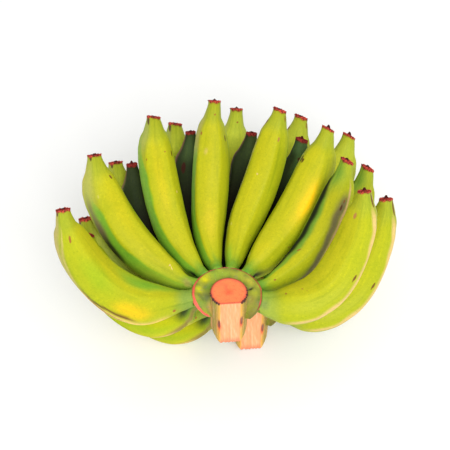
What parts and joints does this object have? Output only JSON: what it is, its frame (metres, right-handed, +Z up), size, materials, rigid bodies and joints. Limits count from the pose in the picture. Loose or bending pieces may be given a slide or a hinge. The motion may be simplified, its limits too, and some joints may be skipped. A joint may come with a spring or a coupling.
{
  "type": "bunch of bananas",
  "caption": "Bunch of unripe yellow-green bananas: two cut hands nested one behind the other, fingers fanned upwards in two rows from a collar around a cut stalk",
  "frame": {"origin": "Middle of the bounding box in X and Y, at the level of the table the bunch lies on.", "axes": "+Z is up as the bunch lies, -Y is the side of the cut stalks, +Y is where the middle fingers point, +X is right seen from the stalks."},
  "size_m": [0.3318, 0.2758, 0.26],
  "materials": {
    "crown": "matte",
    "upper_banana": "satin",
    "lower_banana": "satin"
  },
  "bodies": {
    "root": {"front_crown": "crown", "front_upper_banana_1": "upper_banana", "front_upper_banana_2": "upper_banana", "front_upper_banana_3": "upper_banana", "front_upper_banana_4": "upper_banana", "front_upper_banana_5": "upper_banana", "front_upper_banana_6": "upper_banana", "front_upper_banana_7": "upper_banana", "front_upper_banana_8": "upper_banana", "front_lower_banana_1": "lower_banana", "front_lower_banana_2": "lower_banana", "front_lower_banana_3": "lower_banana", "front_lower_banana_4": "lower_banana", "front_lower_banana_5": "lower_banana", "rear_crown": "crown", "rear_upper_banana_1": "upper_banana", "rear_upper_banana_2": "upper_banana", "rear_upper_banana_3": "upper_banana", "rear_upper_banana_4": "upper_banana", "rear_upper_banana_5": "upper_banana", "rear_upper_banana_6": "upper_banana", "rear_upper_banana_7": "upper_banana", "rear_upper_banana_8": "upper_banana", "rear_lower_banana_1": "lower_banana", "rear_lower_banana_2": "lower_banana", "rear_lower_banana_3": "lower_banana", "rear_lower_banana_4": "lower_banana", "rear_lower_banana_5": "lower_banana"}
  },
  "joints": []
}
